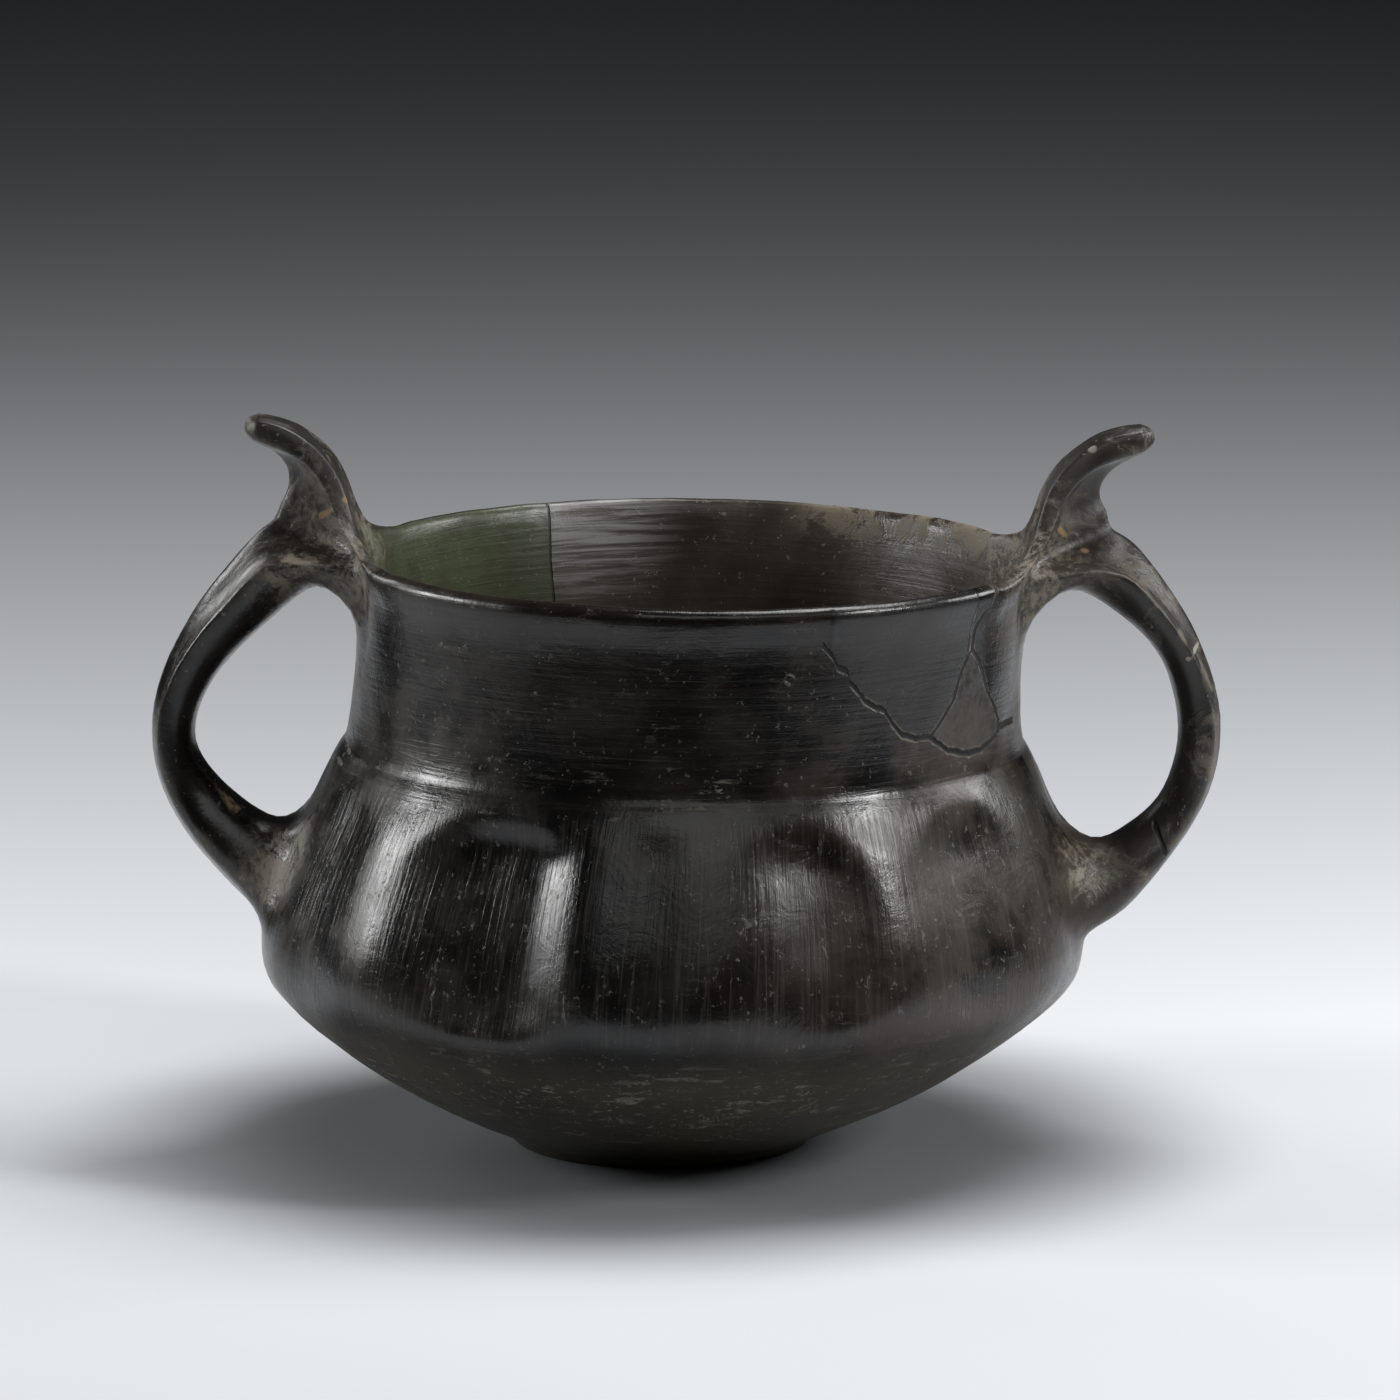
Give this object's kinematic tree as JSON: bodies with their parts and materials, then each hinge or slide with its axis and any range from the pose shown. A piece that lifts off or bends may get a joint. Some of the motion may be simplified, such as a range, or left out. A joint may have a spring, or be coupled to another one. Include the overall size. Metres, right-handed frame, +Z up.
{
  "type": "two-handled fluted bowl",
  "caption": "Round-bodied open bowl of black burnished clay with a fluted belly, two vertical strap handles and a curled horn over each handle.",
  "frame": {"origin": "centre of the flat underside of the foot", "axes": "+Z up, X along the two handles with -X at the viewer's left, front of the bowl towards -Y"},
  "size_m": [0.2795, 0.2163, 0.1915],
  "materials": {
    "black_clay": "burnished black-brown fired clay, worn and repaired"
  },
  "bodies": {
    "root": {"bowl": "black_clay"}
  },
  "joints": []
}
